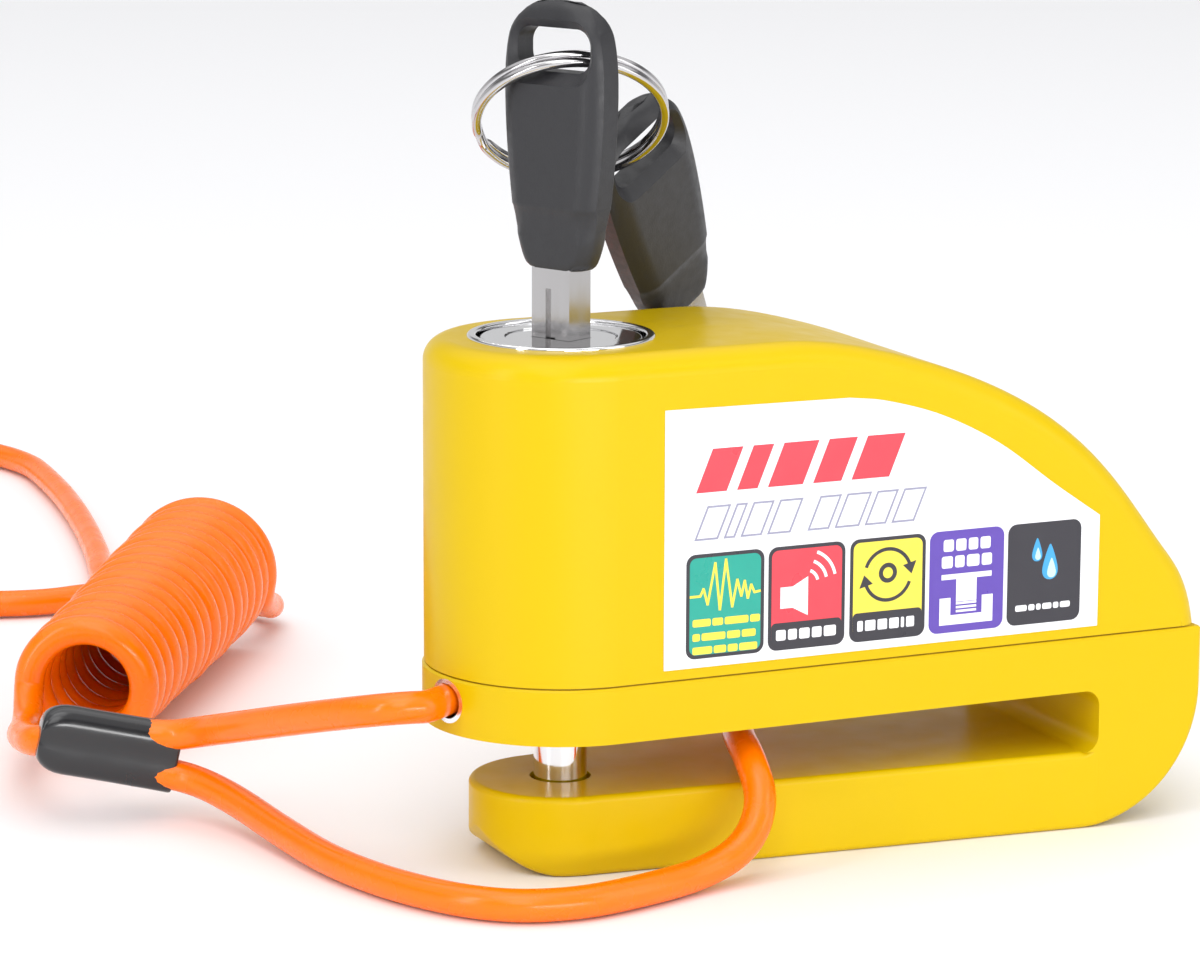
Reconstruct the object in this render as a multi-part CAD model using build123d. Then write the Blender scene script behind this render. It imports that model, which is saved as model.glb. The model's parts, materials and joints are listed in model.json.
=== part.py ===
from build123d import *
import math
import os

os.makedirs("parts", exist_ok=True)

# Disc brake lock, millimetres.
# Origin: on the ground under the lock pin's axis.  +X runs from the pin to the
# closed end of the disc slot, +Z is up, -Y is the labelled face.

# ---- body ----
T = 30.5            # body thickness
HT = T / 2
H = 59.0            # top of the body
ZSEAM = 22.55       # top of the base casting
GASKET = 0.20
ZSH = ZSEAM + GASKET  # bottom of the upper shell
ZARM = 16.3         # underside of the upper arm
ZJAW = 9.05         # top of the lower jaw
XS = 60.65          # closed end of the disc slot
XR = 74.0           # outside of the spine
WALL = 2.6
R_SLOT = 1.9        # corner radius at the closed end of the slot
R_HEEL = 15.6       # outer lower corner of the spine
JAW_TIP_R = 10.1    # half width of the jaw at its tip
JAW_TIP_X = -0.2
TOP_FILLET = 2.6
BACK_CURVE = [(34.0, 56.9), (46.0, 52.8), (55.2, 47.7), (63.4, 40.2), (69.5, 32.4)]
X_FLAT = 20.0       # the top is flat as far as this

# ---- lock cylinder ----
PIN_R = 3.0
PIN_TIP = 5.5
TRAVEL = 11.0
BARREL_R = 9.0
BARREL_Z0 = 30.0
SLEEVE_RI = 9.06
SLEEVE_RO = 10.4
BEZEL_RI = 9.35
PLUG_R = 6.2
PLUG_CLEAR = 0.05
PLUG_Z0 = 42.5
CAM_Z0 = 39.4
BOLT_Z = (35.6, 38.9)
KEY_ANGLE = -64.5   # direction of the key's wide side

# ---- cable ----
CORD_D = 3.6
HOLE_DIR = (0.743, 0.669)
HOLE_IN = (-15.1, -3.2, 19.85)
HOLE_R = 2.45       # drilled hole, lined with an eyelet at each end
EYE_RI = 1.95


def prism_xz(sk_face, y0, y1):
    """Solid of an outline in the X-Z plane between two Y values."""
    f = Plane.XZ * sk_face            # local (x, y) -> (X, Z), normal -Y
    s = extrude(f, amount=-(y1 - y0))  # grows towards +Y
    return Pos(0, y0, 0) * s


def curve_points(d):
    """The sloping back of the body, moved inwards by d."""
    pts = [(X_FLAT, H)] + BACK_CURVE + [(XR, ZSH)]
    out = []
    for i, (x, z) in enumerate(pts):
        if i == 0:
            tx, tz = 1.0, 0.0
        elif i == len(pts) - 1:
            tx, tz = 0.15, -1.0
        else:
            tx = pts[i + 1][0] - pts[i - 1][0]
            tz = pts[i + 1][1] - pts[i - 1][1]
        n = math.hypot(tx, tz)
        tx, tz = tx / n, tz / n
        out.append((x + tz * d, z - tx * d))
    return out


def profile(d, z0):
    """Side outline of the upper shell, moved inwards by d, starting at z0."""
    pts = curve_points(d)
    sp = Spline(*pts, tangents=[(1, 0), (0.15, -1)])
    left = -(HT - d)
    end = pts[-1]
    lines = [Line((left, z0), (left, H - d)), Line((left, H - d), pts[0]), sp]
    if abs(end[1] - z0) > 1e-6:
        lines.append(Line(end, (end[0], z0)))
        lines.append(Line((end[0], z0), (left, z0)))
    else:
        lines.append(Line(end, (left, z0)))
    return make_face(lines)


def obround(hw, x_right, z0, z1):
    """Plan shape with a round nose about the pin axis, extruded."""
    sk = Circle(hw) + Pos((x_right) / 2, 0) * Rectangle(x_right, 2 * hw)
    return Pos(0, 0, z0) * extrude(sk, amount=z1 - z0)


def cyl(r, z0, z1, x=0.0, y=0.0):
    return Pos(x, y, (z0 + z1) / 2) * Cylinder(r, z1 - z0)


def cyl_y(r, y0, y1, x, z):
    return Pos(x, (y0 + y1) / 2, z) * Rot(90, 0, 0) * Cylinder(r, y1 - y0)


def bx(x0, x1, y0, y1, z0, z1):
    return Pos((x0 + x1) / 2, (y0 + y1) / 2, (z0 + z1) / 2) * Box(x1 - x0, y1 - y0, z1 - z0)


def try_fillet(s, edges, r, label):
    for k in (1.0, 0.8, 0.6, 0.4):
        try:
            out = fillet(edges, radius=r * k)
            if out.is_valid:
                if k < 1.0:
                    print("fillet reduced", label, k)
                return out
        except Exception:
            pass
    print("fillet left out", label)
    return s


nodes = {}

# ------------------------------------------------------------------ shell
outer = obround(HT, XR + 5, ZSH, H) & prism_xz(profile(0, ZSH), -HT - 1, HT + 1)
outer = outer.solids()[0]
rim = []
for e in outer.edges():
    bb = e.bounding_box()
    if bb.max.Z < ZSH + 0.01:
        continue                     # lower rim
    if bb.size.X < 0.02 and bb.size.Y < 0.02:
        continue                     # upright seams
    if bb.size.Y > 2 * HT - 0.5 and bb.size.X < 0.05:
        continue                     # cross seams of the top
    rim.append(e)
outer = try_fillet(outer, rim, TOP_FILLET, "shell rim")

inner = obround(HT - WALL, XR + 5, ZSH - 1, H - WALL) & prism_xz(
    profile(WALL, ZSH - 1), -HT + WALL, HT - WALL)
inner = inner & bx(-40, XR - WALL, -HT, HT, 0, 100)
shell = outer - inner

# solid nose around the guide sleeve, screw posts and the roof of the key bore
core = (cyl(HT - WALL + 0.2, ZSH, H - WALL + 0.2) & bx(-20, 8.0, -20, 20, 0, 100))
shell = shell + core
SCREWS = [(22.0, -9.6), (22.0, 9.6), (66.0, -9.2), (66.0, 9.2)]
for (sx, sy) in SCREWS:
    top = 29.5 if sx > 40 else 33.5
    post = cyl(3.1, ZSH, top, sx, sy)
    side = bx(sx - 3.1, sx + 3.1, min(sy, math.copysign(HT - WALL + 0.2, sy)),
              max(sy, math.copysign(HT - WALL + 0.2, sy)), ZSH, top)
    shell = shell + post + side
    shell = shell - cyl(1.4, ZSH - 1, top - 1.2, sx, sy)
shell = shell - cyl(SLEEVE_RO, ZSH - 1, H + 1)
# window for the latch bolt and the microswitch
shell = shell - bx(8.0, 14.0, -3.6, 3.6, 34.0, 51.5)

# outline of the label on the face
LABEL = [(5.5, 23.9), (5.5, 52.8), (28.0, 52.6), (32.7, 51.9), (39.6, 49.8),
         (46.9, 46.1), (54.1, 40.9), (60.1, 36.8), (60.1, 23.7)]


def label_face():
    a, b, c = LABEL[0], LABEL[1], LABEL[2]
    sp = Spline(*[(x, z) for x, z in LABEL[2:8]], tangents=[(1, -0.02), (0.80, -0.60)])
    f = make_face([Line(a, b), Line(b, c), sp, Line(LABEL[7], LABEL[8]), Line(LABEL[8], a)])
    return fillet(f.vertices(), radius=0.6)


LABEL_T = 0.25

# battery door opening in the rear face
DX0, DX1, DZ0, DZ1 = 35.5, 61.5, 24.8, 36.0
door_out = Pos((DX0 + DX1) / 2, (DZ0 + DZ1) / 2) * RectangleRounded(DX1 - DX0, DZ1 - DZ0, 1.6)
shell = shell - prism_xz(door_out, HT - 1.9, HT + 1)
door_in = Pos((DX0 + DX1) / 2 + 1.0, (DZ0 + DZ1) / 2) * RectangleRounded(DX1 - DX0 - 6.0, DZ1 - DZ0 - 2.4, 1.0)
shell = shell - prism_xz(door_in, HT - 3.2, HT + 1)
DOOR_SCREWS = [(DX0 + 1.9, DZ0 + 2.4), (DX0 + 1.9, DZ1 - 2.4)]
for (sx, sz) in DOOR_SCREWS:
    shell = shell + cyl_y(1.9, HT - 5.6, HT - 1.9, sx, sz)
    shell = shell - cyl_y(0.9, HT - 5.0, HT - 1.5, sx, sz)

# sound slots in the rear face
SIREN = (24.5, 45.2)
for i in range(-3, 4):
    half = math.sqrt(max(0.5, 7.6 ** 2 - (i * 2.1) ** 2))
    slot = Pos(SIREN[0], SIREN[1] + i * 2.1) * SlotOverall(2 * half, 1.0)
    shell = shell - prism_xz(slot, HT - 3.2, HT + 1)
nodes["upper_shell"] = shell

# ------------------------------------------------------------------ base
PROUD = 0.2
arm = obround(HT + PROUD, XR - 20, ZARM, ZSEAM)
c_face = make_face([
    Line((20, ZARM), (XS - R_SLOT, ZARM)),
    ThreePointArc((XS - R_SLOT, ZARM), (XS - R_SLOT * (1 - math.sqrt(0.5)), ZARM - R_SLOT * (1 - math.sqrt(0.5))), (XS, ZARM - R_SLOT)),
    Line((XS, ZARM - R_SLOT), (XS, ZJAW + R_SLOT)),
    ThreePointArc((XS, ZJAW + R_SLOT), (XS - R_SLOT * (1 - math.sqrt(0.5)), ZJAW + R_SLOT * (1 - math.sqrt(0.5))), (XS - R_SLOT, ZJAW)),
    Line((XS - R_SLOT, ZJAW), (20, ZJAW)),
    Line((20, ZJAW), (20, 0)),
    Line((20, 0), (XR + PROUD - R_HEEL, 0)),
    ThreePointArc((XR + PROUD - R_HEEL, 0), (XR + PROUD - R_HEEL * (1 - math.sqrt(0.5)), R_HEEL * (1 - math.sqrt(0.5))), (XR + PROUD, R_HEEL)),
    Line((XR + PROUD, R_HEEL), (XR + PROUD, ZSEAM)),
    Line((XR + PROUD, ZSEAM), (20, ZSEAM)),
    Line((20, ZSEAM), (20, ZARM)),
])
c_solid = prism_xz(c_face, -HT - PROUD, HT + PROUD)
# the jaw narrows towards its tip
tang = (HT + PROUD - JAW_TIP_R) / (XS - JAW_TIP_X)
jaw_plan = make_face([
    Line((JAW_TIP_X, -JAW_TIP_R), (XS, -HT - PROUD)),
    Line((XS, -HT - PROUD), (XS, HT + PROUD)),
    Line((XS, HT + PROUD), (JAW_TIP_X, JAW_TIP_R)),
    ThreePointArc((JAW_TIP_X, JAW_TIP_R), (JAW_TIP_X - JAW_TIP_R, 0), (JAW_TIP_X, -JAW_TIP_R)),
])
wedge_cut = bx(-40, XS, -40, 40, -1, ZJAW + 0.001) - extrude(Pos(0, 0, -2) * jaw_plan, amount=ZJAW + 4)
base = arm + c_solid
# nose of the jaw, its underside swept up at the tip
nose_side = make_face([
    Line((JAW_TIP_X - JAW_TIP_R, ZJAW), (25, ZJAW)),
    Line((25, ZJAW), (25, 0)),
    Line((25, 0), (-3.4, 0)),
    Spline((-3.4, 0), (-7.7, 1.2), (JAW_TIP_X - JAW_TIP_R, 4.4), tangents=[(-1, 0), (-0.35, 1)]),
    Line((JAW_TIP_X - JAW_TIP_R, 4.4), (JAW_TIP_X - JAW_TIP_R, ZJAW)),
])
nose = prism_xz(nose_side, -HT - PROUD, HT + PROUD)
base = base + nose
base = base - wedge_cut
base = base.solids()[0]
# soft edges
soft = []
for e in base.edges():
    bb = e.bounding_box()
    flat = bb.size.Z < 0.01
    if flat and abs(bb.max.Z - ZSEAM) < 0.01:
        continue
    if flat and abs(bb.max.Z) < 0.01:
        soft.append(e)
    elif flat and abs(bb.max.Z - ZJAW) < 0.01 and bb.max.X < XS - 4:
        soft.append(e)
base = try_fillet(base, soft, 0.7, "jaw edges")
seam = [e for e in base.edges() if e.bounding_box().size.Z < 0.01 and abs(e.bounding_box().max.Z - ZSEAM) < 0.01]
try:
    b2 = chamfer(seam, 0.25)
    if b2.is_valid:
        base = b2
except Exception:
    print("seam chamfer left out")

ARM_BUSH_R = 4.1
JAW_BUSH_R = 5.0
base = base - cyl(ARM_BUSH_R, ZARM - 1, ZSEAM + 1)
base = base - cyl(JAW_BUSH_R, 4.5, ZJAW - 0.8) - cyl(PIN_R + 0.45, 4.5, ZJAW + 1)
for (sx, sy) in SCREWS:
    if sx < 40:
        base = base - cyl(1.7, ZARM - 1, ZSEAM + 1, sx, sy) - cyl(2.9, ZARM - 1, ZARM + 2.5, sx, sy)
    else:
        base = base - cyl(1.7, -1, ZSEAM + 1, sx, sy) - cyl(2.9, -1, 12.0, sx, sy)
hx, hy = HOLE_DIR
hang = math.degrees(math.atan2(hy, hx))
hn = math.hypot(hx, hy)
HOLE_MID = (HOLE_IN[0] + hx / hn * 13.35, HOLE_IN[1] + hy / hn * 13.35, HOLE_IN[2])


def along_hole(r, length):
    return Pos(*HOLE_MID) * Rot(0, 0, hang) * Rot(0, 90, 0) * Cylinder(r, length)


base = base - along_hole(HOLE_R, 60)
eye_bore = along_hole(HOLE_R, 60)
# wider seats for the two eyelets, one at each mouth
env = obround(HT + PROUD, XR - 20, ZARM, ZSEAM)
nodes_eye = []
for sgn in (-1, 1):
    seat = Pos(HOLE_MID[0] + sgn * hx / hn * 17.0, HOLE_MID[1] + sgn * hy / hn * 17.0, HOLE_MID[2]) * Rot(0, 0, hang) * Rot(0, 90, 0) * Cylinder(HOLE_R, 11.4)
    ring_ = seat & env
    bore = along_hole(EYE_RI, 60)
    nodes_eye.append(ring_ - bore)
nodes["base_body"] = base
nodes["cable_eyelets"] = Compound(children=[s for n_ in nodes_eye for s in n_.solids()])

# ------------------------------------------------------------------ gasket
g = obround(HT - 0.45, XR - 20, ZSEAM, ZSH) + bx(30, XR - 0.55, -HT + 0.45, HT - 0.45, ZSEAM, ZSH)
g = g - obround(HT - 2.2, XR - 20, ZSEAM - 1, ZSH + 1) - bx(30, XR - 2.6, -HT + 2.2, HT - 2.2, ZSEAM - 1, ZSH + 1)
nodes["shell_gasket"] = g

# ------------------------------------------------------------------ bushes, sleeve, bezel
nodes["arm_bush"] = cyl(ARM_BUSH_R, ZARM, ZSEAM) - cyl(PIN_R + 0.06, ZARM - 1, ZSEAM + 1)
nodes["jaw_bush"] = cyl(JAW_BUSH_R, 4.5, ZJAW - 0.8) - cyl(PIN_R + 0.35, 4.5 - 1, ZJAW + 1)
sleeve = cyl(SLEEVE_RO, ZSEAM, H - WALL) - cyl(SLEEVE_RI, ZSEAM - 1, H)
sleeve = sleeve - bx(6, 12, -3.3, 3.3, BOLT_Z[0] - 0.5, BOLT_Z[1] + TRAVEL + 0.5)
nodes["guide_sleeve"] = sleeve
bez = cyl(SLEEVE_RO, H - WALL, H + 0.35) - cyl(BEZEL_RI, H - WALL - 1, H + 2)
bez_e = [e for e in bez.edges() if e.geom_type == GeomType.CIRCLE and abs(e.center().Z - (H + 0.35)) < 0.01]
bez = try_fillet(bez, bez_e, 0.3, "bezel")
nodes["cylinder_bezel"] = bez

# ------------------------------------------------------------------ shell screws
scr = []
for (sx, sy) in SCREWS:
    z0 = ZARM if sx < 40 else 9.4
    hd = cyl(2.7, z0 + 0.1, z0 + 2.5, sx, sy) - Pos(sx, sy, z0 + 0.6) * extrude(RegularPolygon(1.25, 6), amount=-2)
    top = 27.6
    scr.append((hd + cyl(1.35, z0 + 2.4, top, sx, sy)).solids()[0])
nodes["shell_screws"] = Compound(children=scr)

# ------------------------------------------------------------------ label
lab = prism_xz(label_face(), -HT - LABEL_T, -HT)
nodes["front_label"] = lab

# ------------------------------------------------------------------ battery door
d1 = Pos((DX0 + DX1) / 2, (DZ0 + DZ1) / 2) * RectangleRounded(DX1 - DX0 - 0.3, DZ1 - DZ0 - 0.3, 1.45)
door = prism_xz(d1, HT - 1.35, HT)
for i in range(5):
    xx = DX0 + 9.0 + i * 2.6
    door = door - bx(xx, xx + 1.0, HT - 0.35, HT + 1, DZ0 + 3.2, DZ1 - 3.2)
for (sx, sz) in DOOR_SCREWS:
    door = door - cyl_y(1.0, HT - 3, HT + 1, sx, sz) - cyl_y(1.7, HT - 0.75, HT + 1, sx, sz)
nodes["battery_door"] = door
gk = prism_xz(d1, HT - 1.9, HT - 1.35) - prism_xz(door_in, HT - 3, HT)
for (sx, sz) in DOOR_SCREWS:
    gk = gk - cyl_y(1.0, HT - 3, HT + 1, sx, sz)
nodes["door_gasket"] = gk
ds = []
for (sx, sz) in DOOR_SCREWS:
    s_ = cyl_y(1.6, HT - 0.75, HT - 0.08, sx, sz) + cyl_y(0.85, HT - 4.6, HT - 0.7, sx, sz)
    s_ = s_ - bx(sx - 1.1, sx + 1.1, HT - 0.4, HT + 1, sz - 0.2, sz + 0.2) - bx(sx - 0.2, sx + 0.2, HT - 0.4, HT + 1, sz - 1.1, sz + 1.1)
    ds.append(s_.solids()[0])
nodes["door_screws"] = Compound(children=ds)

# ------------------------------------------------------------------ electronics
pcb = bx(15.5, 55.0, -6.0, -4.8, 24.5, 43.5)
for (hx_, hz_) in ((18.0, 41.0), (52.5, 27.0)):
    pcb = pcb - cyl_y(1.1, -7, -4, hx_, hz_)
nodes["circuit_board"] = pcb
sir = cyl_y(9.8, 5.2, HT - WALL, *SIREN) - cyl_y(1.6, HT - WALL - 1.2, HT - WALL + 1, *SIREN)
sir_e = [e for e in sir.edges() if e.geom_type == GeomType.CIRCLE and abs(e.center().Y - 5.2) < 0.01]
sir = try_fillet(sir, sir_e, 0.8, "siren")
nodes["siren"] = sir
CELLS = [(45.0, 30.0), (57.0, 30.0)]
CELL_R = 5.6
hold = bx(39.35, 62.8, -3.4, 9.5, 23.2, 34.2)
for (cx_, cz_) in CELLS:
    hold = hold - cyl_y(CELL_R + 0.15, -1.8, 12.0, cx_, cz_) - bx(cx_ - 4.2, cx_ + 4.2, -1.8, 12.0, cz_, 40)
nodes["battery_holder"] = hold.solids().sort_by(SortBy.VOLUME)[-1]
cells = []
for (cx_, cz_) in CELLS:
    for k in range(2):
        y0 = -0.9 + k * 5.45
        c_ = cyl_y(CELL_R, y0, y0 + 4.2, cx_, cz_) + cyl_y(CELL_R - 1.0, y0 + 4.2, y0 + 5.2, cx_, cz_)
        cells.append(c_.solids()[0])
nodes["button_cells"] = Compound(children=cells)
ct = []
for (cx_, cz_) in CELLS:
    ct.append(cyl_y(3.6, -1.75, -1.35, cx_, cz_))
ct.append(bx(CELLS[0][0] - 3.0, CELLS[1][0] + 1.2, 11.45, 11.8, 28.4, 31.6))
nodes["battery_contacts"] = Compound(children=[c_ if isinstance(c_, Solid) else c_.solids()[0] for c_ in ct])
ss = cyl_y(3.0, -9.6, -6.0, 38.0, 38.5) - cyl_y(2.2, -9.0, -7.0, 38.0, 38.5)
nodes["shock_sensor"] = ss
sw = bx(13.9, 19.5, -4.7, 1.4, 34.2, 40.2)
sw = sw + bx(13.3, 13.95, -1.6, 0.6, 36.0, 38.4)
nodes["arming_switch"] = sw

# ------------------------------------------------------------------ plunger
barrel = cyl(BARREL_R, BARREL_Z0, H)
barrel = barrel - cyl(PLUG_R + PLUG_CLEAR, PLUG_Z0 - 0.05, H + 1)
barrel = barrel - cyl(5.2, CAM_Z0 - 0.4, PLUG_Z0 + 1)
barrel = barrel - bx(-7.6, BARREL_R + 1, -2.9, 2.9, BOLT_Z[0] - 0.3, BOLT_Z[1] + 0.3)
barrel = barrel - cyl(2.9, BOLT_Z[0] - 0.3, CAM_Z0 + 0.5)
barrel = barrel - cyl(PIN_R, BARREL_Z0 - 1, 35.0)
barrel = barrel - cyl_y(1.0, -12, 12, 0, 32.6)
oring_cut = cyl(BARREL_R + 1, 51.9, 53.1) - cyl(BARREL_R - 0.95, 51.0, 54.0)
barrel = barrel - oring_cut
tope = [e for e in barrel.edges() if e.geom_type == GeomType.CIRCLE and abs(e.center().Z - H) < 0.01 and e.radius > 8]
barrel = try_fillet(barrel, tope, 0.3, "barrel rim")
nodes["cylinder_barrel"] = barrel
pin = cyl(PIN_R, PIN_TIP, 35.0)
pe = [e for e in pin.edges() if e.geom_type == GeomType.CIRCLE and abs(e.center().Z - PIN_TIP) < 0.01]
pin = chamfer(pe, 0.6)
pin = pin - cyl_y(1.0, -12, 12, 0, 32.6)
nodes["lock_pin"] = pin
nodes["cross_pin"] = cyl_y(1.0, -8.6, 8.6, 0, 32.6)
nodes["barrel_oring"] = Pos(0, 0, 52.5) * Torus(BARREL_R - 0.48, 0.47)
# return spring, compressed between the arm and the barrel
SPR_R, SPR_D, SPR_N = 5.2, 1.0, 4.5
z_a, z_b = ZSEAM + 0.15 + SPR_D / 2, BARREL_Z0 - 0.15 - SPR_D / 2
path = Edge.make_helix(pitch=(z_b - z_a) / SPR_N, height=z_b - z_a, radius=SPR_R, center=(0, 0, z_a))
sec = Plane(origin=path @ 0, z_dir=path % 0) * Circle(SPR_D / 2)
nodes["return_spring"] = sweep(sec, path=path, is_frenet=True)

# ------------------------------------------------------------------ plug and cam
BW, BT = 5.4, 3.6       # key blade
kq = Rot(0, 0, KEY_ANGLE)
keyway = kq * bx(-BW / 2 - 0.1, BW / 2 + 0.1, -BT / 2 - 0.1, BT / 2 + 0.1, PLUG_Z0 + 0.6, H + 1)
plug = cyl(PLUG_R, PLUG_Z0, H - 0.15)
plug = plug - keyway
WAF = [45.2, 47.4, 49.6, 55.2]
waf = []
for z in WAF:
    plug = plug - kq * bx(-4.5, 4.5, -4.1, 4.1, z, z + 1.0)
    w_ = kq * (bx(-4.35, 4.35, -3.95, 3.95, z + 0.1, z + 0.9) - bx(-BW / 2 - 0.25, BW / 2 + 0.25, -BT / 2 - 0.25, BT / 2 + 0.25, z - 1, z + 2))
    waf.append(w_.solids()[0] if not isinstance(w_, Solid) else w_)
plug_top = [e for e in plug.edges() if e.geom_type == GeomType.CIRCLE and abs(e.center().Z - (H - 0.15)) < 0.01 and e.radius > 6]
plug = try_fillet(plug, plug_top, 0.2, "plug rim")
# countersunk mouth of the keyway
nodes["plug_core"] = plug
nodes["plug_wafers"] = Compound(children=waf)
cam = cyl(4.8, CAM_Z0, PLUG_Z0) + cyl(0.8, BOLT_Z[0] + 0.3, CAM_Z0 + 0.3, 1.6, 0)
nodes["tail_cam"] = cam

# ------------------------------------------------------------------ latch bolt
bolt = bx(-5.6, 10.6, -2.5, 2.5, BOLT_Z[0], BOLT_Z[1])
bolt = bolt - bx(1.6 - 0.8 - 0.9, 1.6 + 0.8 + 0.6, -3.0 + 1.4, 3.0 + 0.0, BOLT_Z[0] - 1, BOLT_Z[1] + 1)
nodes["latch_bolt"] = bolt.solids()[0]

# ------------------------------------------------------------------ keys
KEY_T = 5.0
HEAD_W = 14.2
HEAD_UP, HEAD_DN = 5.1, 24.2      # from the slot's centre
SLOT_L, SLOT_H = 10.4, 4.8
KEY_SLOT_Z = 90.6
BLADE_END = 44.2                   # tip height in the lock


def key_head_local():
    """Head with its slot's centre at the origin, width along X, axis along +Y (up), thickness along Z."""
    pts = [(-2.7, -HEAD_DN), (2.7, -HEAD_DN), (5.6, -HEAD_DN + 4.0), (6.8, -11.5), (7.1, -5.0), (6.7, 0.6), (5.2, 3.6), (2.6, HEAD_UP),
           (-2.6, HEAD_UP), (-5.2, 3.6), (-6.7, 0.6), (-7.1, -5.0), (-6.8, -11.5), (-5.6, -HEAD_DN + 4.0)]
    f = make_face(Polyline(*pts, close=True))
    f = fillet(f.vertices(), radius=1.4)
    s = extrude(Pos(0, 0, -KEY_T / 2) * f, amount=KEY_T)
    edges = [e for e in s.edges() if e.bounding_box().size.Z < 0.01]
    try:
        s2 = chamfer(edges, 1.0)
        if s2.is_valid:
            s = s2
    except Exception:
        print("head chamfer left out")
    sl = extrude(Pos(0, 0, -10) * RectangleRounded(SLOT_L, SLOT_H, 1.9), amount=20)
    s = s - sl
    for sg in (-1, 1):
        fl = loft([Pos(0, 0, sg * (KEY_T / 2 - 1.2)) * RectangleRounded(SLOT_L, SLOT_H, 1.9),
                   Pos(0, 0, sg * (KEY_T / 2 + 0.1)) * RectangleRounded(SLOT_L + 2.6, SLOT_H + 2.6, 3.1)])
        s = s - fl
    # pocket that holds the blade
    return s


def blade_local(length):
    """Blade hanging from the head, axis along -Y."""
    y_top = -HEAD_DN + 9.0
    y_bot = -HEAD_DN - length
    b = bx(-BW / 2, BW / 2, y_bot, y_top, -BT / 2, BT / 2)
    # pointed tip and milled grooves on both broad faces
    tip = [e for e in b.edges() if abs(e.center().Y - y_bot) < 0.01]
    b = chamfer(tip, 0.9)
    for sg in (-1, 1):
        b = b - bx(-0.7, 0.7, y_bot - 1, -HEAD_DN - 2.0, sg * (BT / 2 - 0.45) - 0.45 + (0.45 if sg > 0 else -0.45) - (0.0), sg * (BT / 2 - 0.45) + 0.45 + (0.45 if sg > 0 else -0.45))
    return b


BLADE_LEN = KEY_SLOT_Z - HEAD_DN - BLADE_END
head0 = key_head_local()
blade0 = blade_local(BLADE_LEN)
head0 = head0 - bx(-BW / 2, BW / 2, -HEAD_DN - 1, -HEAD_DN + 9.0, -BT / 2, BT / 2)


def place_key(centre, wdir, updir):
    """Location that takes local X to the key's width and local Y to its upward axis."""
    w = Vector(*wdir).normalized()
    u = Vector(*updir).normalized()
    n = w.cross(u)
    return Plane(origin=centre, x_dir=w, z_dir=n).location


ka = math.radians(KEY_ANGLE)
loc1 = place_key((0, 0, KEY_SLOT_Z), (math.cos(ka), math.sin(ka), 0), (0, 0, 1))
nodes["key_1_head"] = loc1 * head0
nodes["key_1_blade"] = loc1 * blade0

# split ring: two turns of wire, modelled as two flat-faced hoops lying face to face
RING_C = (3.465, 5.385, 82.47)
RING_E1 = (0.926, -0.374, 0.045)
RING_E2 = (-0.3, -0.66, 0.689)
RING_R = 10.4
RING_DR, RING_DA = 0.55, 1.0
# second key: slot centre, width direction and upward direction
K2_C = (13.384, 9.566, 78.081)
K2_W = (0.808, 0.248, 0.535)
K2_UP = (-0.414, -0.409, 0.814)

e1 = Vector(*RING_E1).normalized()
e2 = Vector(*RING_E2)
e2 = (e2 - e1 * e2.dot(e1)).normalized()
rn = e1.cross(e2)
ring_loc = Plane(origin=RING_C, x_dir=e1, z_dir=rn).location


def hoop(z0, z1):
    s = Pos(0, 0, (z0 + z1) / 2) * (Cylinder(RING_R + RING_DR, z1 - z0) - Cylinder(RING_R - RING_DR, z1 - z0))
    es = [e for e in s.edges() if e.geom_type == GeomType.CIRCLE]
    return fillet(es, radius=0.3)


coil_ring = hoop(-RING_DA, 0.0) + hoop(0.0, RING_DA)
nodes["split_ring"] = ring_loc * coil_ring
k2u = Vector(*K2_UP)
k2w = Vector(*K2_W).normalized()
k2u = (k2u - k2w * k2u.dot(k2w)).normalized()
loc2 = place_key(K2_C, tuple(k2w), tuple(k2u))
nodes["key_2_head"] = loc2 * head0
nodes["key_2_blade"] = loc2 * blade0

# ------------------------------------------------------------------ cable
R_C = CORD_D / 2
# crimp sleeves: obround blocks, the two strands lie one above the other
NS0, NS1 = (-49.6, 35.77, 10.33), (-34.3, 32.05, 6.84)
FS0, FS1 = (4.8, 125.9, 2.4), (-4.8, 136.1, 2.4)
NEAR = [(-41.6, 33.8, 10.46), (-36.2, 32.5, 9.45), (-32.4, 29.0, 10.5), (-31.2, 22.8, 12.3), (-29.4, 15.2, 14.5),
        (-26.9, 6.0, 17.15), (-23.6, -3.3, 19.7), (-20.3, -5.3, 20.15), (-17.18, -5.07, 19.85), (9.42, 18.88, 19.85),
        (17.8, 24.6, 18.4), (26.4, 24.2, 15.4), (29.0, 15.4, 13.0), (23.5, 3.0, 12.6), (19.2, -6.0, 13.0),
        (17.2, -13.2, 12.4), (16.6, -17.9, 8.6), (14.0, -19.2, 4.2), (8.5, -20.0, 1.95), (-0.5, -23.2, 1.9), (-9.5, -24.9, 1.9),
        (-17.6, -22.0, 1.9), (-23.6, -12.5, 1.9), (-27.2, 0.0, 1.9), (-28.6, 12.5, 2.4), (-30.2, 23.6, 3.6),
        (-32.9, 30.2, 4.7), (-37.0, 32.6, 5.5), (-41.6, 33.8, 6.56)]
FAR = [(-0.64, 134.53, 2.3), (-4.0, 138.2, 2.15), (-5.4, 147.0, 2.0), (-1.5, 160.0, 2.0), (4.0, 184.0, 2.0), (8.5, 210.0, 2.0), (11.0, 238.0, 2.0),
       (-6.0, 262.0, 2.0), (-35.0, 265.0, 2.0), (-58.0, 245.0, 2.0), (-68.0, 215.0, 2.0), (-66.0, 185.0, 2.0),
       (-52.0, 158.0, 2.0), (-33.0, 141.0, 2.0), (-18.5, 134.9, 2.0), (-8.6, 136.9, 2.1), (-3.48, 131.85, 2.3)]


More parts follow.
